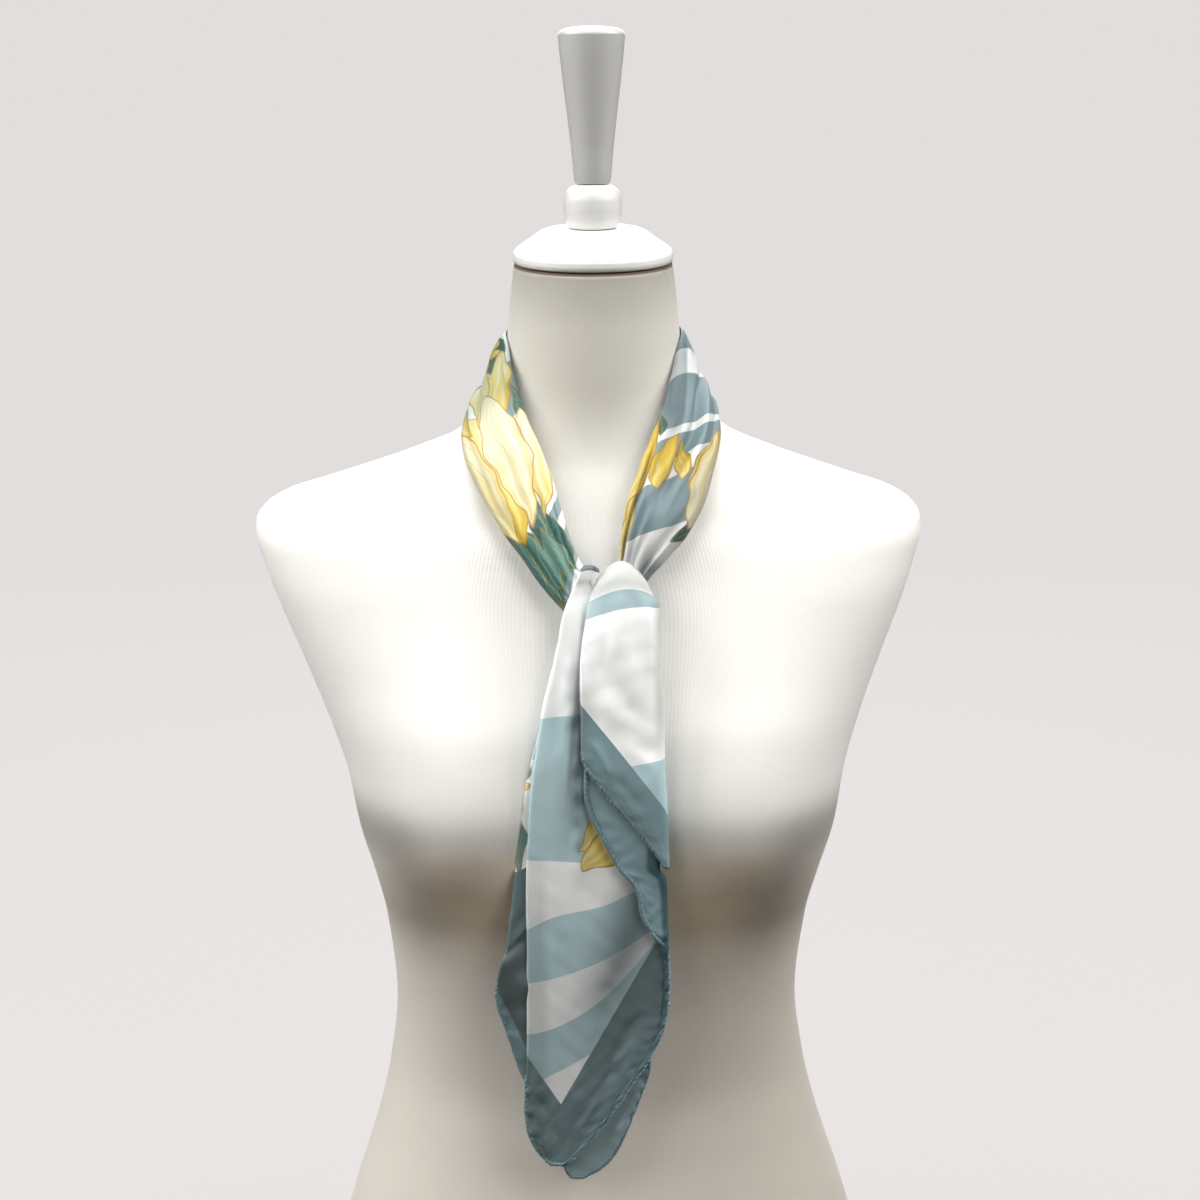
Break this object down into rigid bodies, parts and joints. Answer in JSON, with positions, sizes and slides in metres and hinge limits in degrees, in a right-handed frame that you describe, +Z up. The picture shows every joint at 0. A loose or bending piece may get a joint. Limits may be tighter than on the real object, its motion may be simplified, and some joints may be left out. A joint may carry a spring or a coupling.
{
  "type": "silk square scarf on a dress form",
  "caption": "Silk square scarf folded into a soft band round the neck of a limbless dress form, tied in a loose knot on the chest, with its ends hanging as flat tails.",
  "frame": {"origin": "middle of the dress form's flat base, on the surface that it stands on", "axes": "+Z up along the form, -Y towards its chest and the knot, +X towards the wearer's left shoulder"},
  "size_m": [0.3884, 0.247, 0.801],
  "materials": {
    "form_cover": "off-white knitted jersey, matt, stretched smooth over padding",
    "white_wood": "turned wood, white satin lacquer",
    "silk_white": "silk twill, soft sheen, off-white ground with blue-grey bands and border",
    "silk_blue": "silk twill, soft sheen, blue-grey border colour",
    "silk_yellow": "silk twill, soft sheen, pale yellow and white flowers with teal leaves"
  },
  "bodies": {
    "root": {"form_body": "form_cover", "neck_cap": "white_wood", "cap_ball": "white_wood", "cap_handle": "white_wood", "scarf_band_left": "silk_yellow", "scarf_band_back": "silk_yellow", "scarf_band_right": "silk_yellow", "knot_core": "silk_blue", "scarf_over_tail": "silk_white", "scarf_main_tail": "silk_white", "scarf_under_tail": "silk_blue"}
  },
  "joints": []
}
